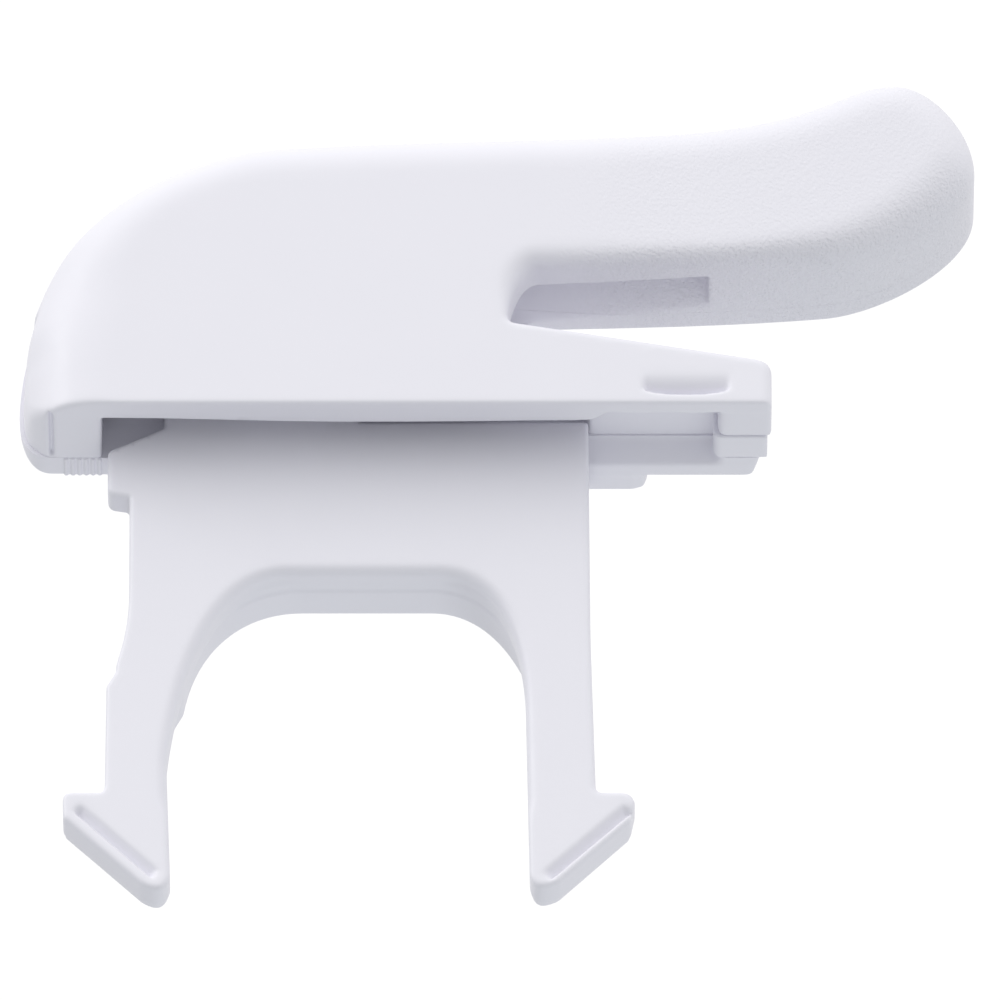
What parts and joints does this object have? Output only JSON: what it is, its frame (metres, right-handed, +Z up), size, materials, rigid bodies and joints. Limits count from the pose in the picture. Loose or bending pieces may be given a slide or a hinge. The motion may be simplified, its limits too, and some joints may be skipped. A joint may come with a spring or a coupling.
{
  "type": "stair gate latch",
  "caption": "Sliding handle for a stair gate: a soft cap with a finger lever and a bolt prong, riding on a clip-in fork with two barbed snap legs.",
  "frame": {"origin": "middle of the fork's saddle, the flat underside of the arch between its snap legs", "axes": "+X towards the lever's tip, +Y away from the handle's front face, +Z up out of the fork towards the cap"},
  "size_m": [0.1002, 0.0184, 0.0937],
  "materials": {
    "handle_plastic": "white moulded plastic, smooth cap, fine leather grain on the lever",
    "fork_plastic": "white moulded plastic, plain satin",
    "zinc_steel": "bright zinc",
    "spring_steel": "drawn wire"
  },
  "bodies": {
    "carriage": {"clip_fork": "fork_plastic", "spring_washer": "zinc_steel", "return_spring": "spring_steel"},
    "handle": {"handle_front_shell": "handle_plastic", "handle_rear_cover": "handle_plastic", "prong_nose_block": "handle_plastic", "cover_screw_slide": "zinc_steel", "cover_screw_corner": "zinc_steel", "cover_screw_top": "zinc_steel", "cover_screw_lever": "zinc_steel", "guide_rod": "zinc_steel", "rod_clip": "spring_steel"},
    "left_leg": {"left_snap_leg": "fork_plastic"},
    "right_leg": {"right_snap_leg": "fork_plastic"}
  },
  "joints": [
    {"name": "handle_slide", "type": "slide", "parent": "carriage", "child": "handle", "axis": [-1, 0, 0], "range_m": [0, 0.012], "stiffness_N_per_m": 350, "springref_m": -0.006, "deforming": ["return_spring"]},
    {"name": "left_leg_flex", "type": "hinge", "parent": "carriage", "child": "left_leg", "pos_m": [-0.0204, 0, -0.009], "axis": [0, -1, 0], "range_deg": [0, 8], "stiffness_Nm_per_rad": 0.8},
    {"name": "right_leg_flex", "type": "hinge", "parent": "carriage", "child": "right_leg", "pos_m": [0.0204, 0, -0.009], "axis": [0, 1, 0], "range_deg": [0, 8], "stiffness_Nm_per_rad": 0.8}
  ]
}
